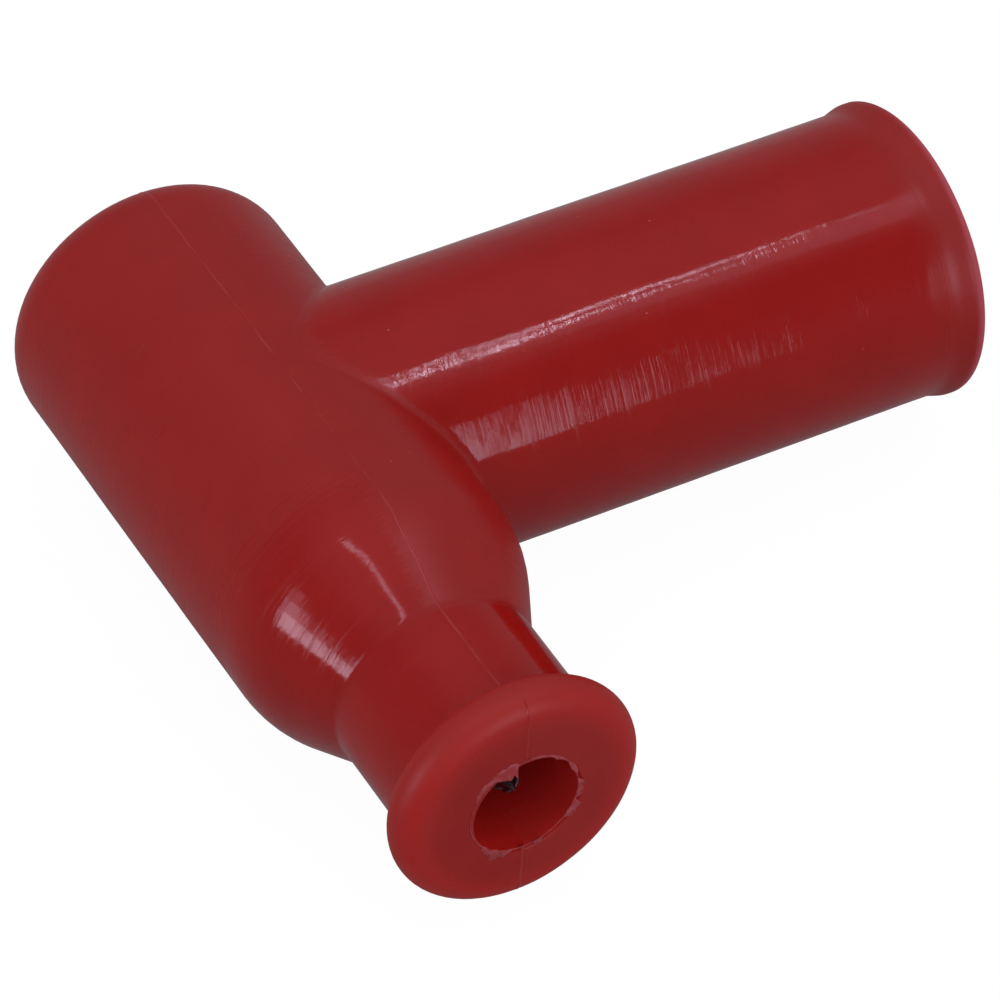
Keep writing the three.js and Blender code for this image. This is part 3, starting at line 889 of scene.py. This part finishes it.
# The boot's slightly uneven faces and leaning mouth, and the shares that its finish reads
def shapeBoot(piece):
    mesh = piece.data
    count = len(mesh.vertices)
    places = np.empty(count * 3)
    normals = np.empty(count * 3)
    mesh.vertices.foreach_get("co", places)
    mesh.vertices.foreach_get("normal", normals)
    places = places.reshape(-1, 3) / mm - np.array(crossing)
    normals = normals.reshape(-1, 3)
    rise = lambda start, length, value: np.clip((value - start) / length, 0, 1)
    x, y, z = places.T  # these follow places as it changes
    fromTube = np.hypot(y, z)
    fromBody = np.hypot(x, z)
    tube = rise(boot["bodyRadius"] + 0.15, 0.5, fromBody) * (x > 0) * (np.abs(y) < 10)
    outside = rise(
        zones["outside"], 0.5, np.maximum(fromTube * (x > 0), fromBody * (x < boot["bodyRadius"])))
    uneven = np.array([noise.noise(Vector(p) * 0.16) + 0.5 * noise.noise(Vector(p) * 0.45) for p in places])
    places += normals * (boot["surfaceWobble"] * uneven * outside)[:, None]
    lean = rise(boot["skewStart"], boot["tubeReach"] - boot["skewStart"], x) ** 2
    x -= math.tan(math.radians(boot["mouthSkew"])) * y * lean
    holeShift = rise(zones["shiftStart"], zones["shiftRun"], -y)
    holeShift *= rise(-zones["shiftReach"], zones["shiftFade"], -np.hypot(x, z))
    flange = rise(boot["flangeBack"] - 0.5, 1, -y)
    shoulder = rise(zones["shoulder"], 3, -y)
    neckSide = rise(boot["neckReach"] + 0.3, 0.5, -y)
    cone = shoulder * (1 - neckSide)
    mouth = rise(boot["tubeReach"] - zones["mouthFade"], 2.6, x)
    near = rise(-zones["near"], 1.5, -x)
    high = rise(zones["high"], 1, z)
    dull = cone * rise(0, 0.4, x) * rise(-zones["dullWidth"], 1.5, -x) * (z > 0)
    leftPolish = zones["shoulderPolish"] * rise(0, 1.5, -x)
    farScuffs = zones["farScuffs"]
    shares = {
        "tubeShare": tube,
        "polishShare": np.maximum(tube, shoulder * np.maximum(leftPolish, neckSide) * (1 - tube)),
        "scuffedShare": np.maximum(
            tube * high * (farScuffs + (1 - farScuffs) * near), cone * zones["shoulderScuffs"]),
        "fineShare": tube * near * (1 - high),
        # painted light on the wall of the lead's hole
        "litLiningShare": (np.abs(fromBody - boot["holeRadius"]) < 0.01) * (y < -bore["seatRadius"]),
        "mattShare": np.maximum(
            np.maximum(flange, zones["mouthMatt"] * mouth) * outside, zones["dull"] * dull),
        # painted highlight along the lip's edge
        "lipShare": rise(boot["tubeReach"] - zones["lipEdge"], 0.25, x) * outside,
        # painted light on the flange's rim
        "rimShare": flange * rise(zones["rimStart"], 1.2, fromBody) * rise(-zones["rimEnd"], 0.7, -fromBody),
    }
    places += holeShift[:, None] * np.array(boot["holeShift"])
    mesh.vertices.foreach_set("co", ((places + np.array(crossing)) * mm).ravel())
    for name, share in shares.items():
        layer = mesh.attributes.new(name, "FLOAT", "POINT")
        layer.data.foreach_set("value", share.astype(np.float32))
    mesh.update()


siliconeSkin = siliconeFinish()
seamSkin = siliconeFinish("parting_line", ridge=True)
flashSkin = flashFinish()
brass, springSteel, platedSteelPaintedShade = (metalFinish(name) for name in metals)
print("finishes made")

bootSkin = meshPiece("boot_moulding", makeBoot(), siliconeSkin)
shapeBoot(bootSkin)
pieces = [
    (bootSkin, "silicone", "boot"),
    (makeSeam(seamSkin), "silicone", None),
    (makeFlash(flashSkin), "silicone", None),
    (makeTerminal(brass), "brass", "terminal_socket"),
    (makeClip(springSteel), "spring_steel", "spring_clip"),
    # the screw's dark metal is painted shade
    (makeScrew(platedSteelPaintedShade), "plated_steel", "lead_screw"),
]
for piece, slot, node in pieces:
    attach(piece, "root")
    if node:
        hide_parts(node)
print("pieces made")

# The floor, and surroundings that the camera sees as white and the glossy rubber as a grey room
floorFinish = {
    "reach": 3.0,  # metres
    "grey": 0.40, "ownLight": 1.08, "share": 0.9,
    "mirrored": 0.24, "mirroredShare": 0.6, "mirroredColour": (1.0, 0.80, 0.90, 1),
}
worldLight = {
    "lit": (0.87, 0.86, 0.86, 1),  # what lights the object
    "mirrorColour": (0.95, 0.88, 1, 1),  # what it mirrors
    "low": 0.27, "high": 0.56, "dark": 0.20,  # by the horizon, overhead, and above the side window
    "darkAzimuth": 40, "darkElevation": 31,
    "brighter": (0.55, 1.0), "darker": (0.90, 0.965),  # where each change begins and is full
}
white = (1, 1, 1, 1)


# Directions are degrees: azimuth from -Y towards +X, elevation above the table, as seen from the cap
def direction(azimuth, elevation):
    a, e = math.radians(azimuth), math.radians(elevation)
    return Vector((math.sin(a) * math.cos(e), -math.cos(a) * math.cos(e), math.sin(e)))


def makeFloor():
    mesh = bpy.data.meshes.new("floor")
    reach = floorFinish["reach"]
    corners = [(-reach, -reach, 0), (reach, -reach, 0), (reach, reach, 0), (-reach, reach, 0)]
    mesh.from_pydata(corners, [], [(0, 1, 2, 3)])
    floor = bpy.data.objects.new("floor", mesh)
    scene.collection.objects.link(floor)
    material = bpy.data.materials.new("white_table")
    material.use_nodes = True
    nodes = Nodes(material.node_tree)
    nodes.tree.nodes.clear()
    matt = nodes.make("ShaderNodeBsdfDiffuse", None, {"Color": (floorFinish["grey"],) * 3 + (1,)})
    glow = lambda colour, strength: nodes.make(
        "ShaderNodeEmission", None, {"Color": colour, "Strength": floorFinish[strength]})
    seen = nodes.make("ShaderNodeLightPath", output="Is Camera Ray")
    direct = (seen + seen.other("Is Transmission Ray")) * floorFinish["share"]
    mirrored = seen.other("Is Glossy Ray") * floorFinish["mirroredShare"]
    room = glow(floorFinish["mirroredColour"], "mirrored")
    under = nodes.make("ShaderNodeMixShader", None, {0: mirrored, 1: matt, 2: room})
    both = nodes.make("ShaderNodeMixShader", None, {0: direct, 1: under, 2: glow(white, "ownLight")})
    nodes.make("ShaderNodeOutputMaterial", None, {"Surface": both})
    mesh.materials.append(material)


def makeWorld():
    world = bpy.data.worlds.new("white_room")
    scene.world = world
    world.use_nodes = True
    nodes = Nodes(world.node_tree)
    nodes.tree.nodes.clear()
    seen = nodes.make("ShaderNodeLightPath", output="Is Camera Ray")
    way = nodes.make("ShaderNodeTexCoord", output="Generated")
    height = nodes.make("ShaderNodeSeparateXYZ", None, {"Vector": way}, output="Z")
    room = worldLight["low"] + (worldLight["high"] - worldLight["low"]) * height.band(*worldLight["brighter"])
    darkWay = direction(worldLight["darkAzimuth"], worldLight["darkElevation"])
    towards = nodes.make(
        "ShaderNodeVectorMath", {"operation": "DOT_PRODUCT"}, {0: way, 1: tuple(darkWay)}, output="Value")
    room = room + (worldLight["dark"] - room) * towards.band(*worldLight["darker"])
    background = lambda colour, strength=1.0: nodes.make(
        "ShaderNodeBackground", None, {"Color": colour, "Strength": strength})
    lit, mirror = background(worldLight["lit"]), background(worldLight["mirrorColour"], room)
    light = nodes.make("ShaderNodeMixShader", None, {0: seen.other("Is Glossy Ray"), 1: lit, 2: mirror})
    direct = seen + seen.other("Is Transmission Ray")
    both = nodes.make("ShaderNodeMixShader", None, {0: direct, 1: light, 2: background(white)})
    nodes.make("ShaderNodeOutputWorld", None, {"Surface": both})


lampDistance = 1500
lampColour = (0.98, 0.82, 1.0)
lamps = [  # name, azimuth, elevation, roll, width and height in degrees, radiance
    ("high_strip", 71.0, 65.6, 0, 1.6, 2.0, 26.0),
    ("high_panel", 57.5, 65.0, 0, 4.0, 1.8, 28.0),
    ("high_glow", 62.0, 58.5, 0, 12.0, 9.0, 0.6),
    ("side_window", 13.5, 8.0, 0, 18.2, 16.0, 3.5),
    ("side_window_top", 13.7, 23.0, -1.5, 18.6, 14.0, 3.0),
    ("left_window", -87.0, 5.5, 0, 18.0, 11.0, 3.6),
    ("left_window_middle", -88.0, 10.0, 8, 17.0, 20.0, 1.9),
    ("left_window_tall", -90.0, 14.0, 12, 15.0, 28.0, 1.1),
    ("top_lamp", -70.0, 75.0, 0, 26.0, 2.6, 4.6),
]


def makeLamps():
    target = crossing * mm
    for name, azimuth, elevation, roll, *spans, radiance in lamps:
        data = bpy.data.lights.new(name, "AREA")
        data.shape = "RECTANGLE"
        data.size, data.size_y = (
            2 * lampDistance * mm * math.tan(math.radians(span / 2)) for span in spans)
        data.energy = radiance * math.pi * data.size * data.size_y
        data.color = lampColour
        lamp = bpy.data.objects.new(name, data)
        away = direction(azimuth, elevation)
        lamp.location = target + away * lampDistance * mm
        lamp.rotation_mode = "QUATERNION"
        turn = Quaternion((0, 0, 1), math.radians(roll))
        lamp.rotation_quaternion = away.to_track_quat("Z", "Y") @ turn
        scene.collection.objects.link(lamp)


# The photograph's view, fitted to its outline: the aim is in millimetres from the crossing
view = {
    "azimuth": -30.84, "elevation": 43.67, "roll": 2.70, "distance": 413.2,
    "aim": (11.32, -7.79, -0.87), "lens": 249.6, "sensor": 36.0,
    "clip": (0.05, 20),  # metres
}


def makeCamera():
    data = bpy.data.cameras.new("camera")
    data.lens = view["lens"]
    data.sensor_width = view["sensor"]
    data.clip_start, data.clip_end = view["clip"]
    camera = bpy.data.objects.new("camera", data)
    back = direction(view["azimuth"], view["elevation"])
    level = Vector((0, 0, 1)).cross(back).normalized()
    roll = math.radians(view["roll"])
    right = level * math.cos(roll) + back.cross(level) * math.sin(roll)
    up = back.cross(right)
    camera.location = (crossing + Vector(view["aim"]) + back * view["distance"]) * mm
    camera.rotation_mode = "QUATERNION"
    camera.rotation_quaternion = Matrix((right, up, back)).transposed().to_quaternion()
    scene.collection.objects.link(camera)
    scene.camera = camera


makeFloor()
makeWorld()
makeLamps()
makeCamera()
scene.view_settings.view_transform = "Standard"
print("stage, lamps and camera made")
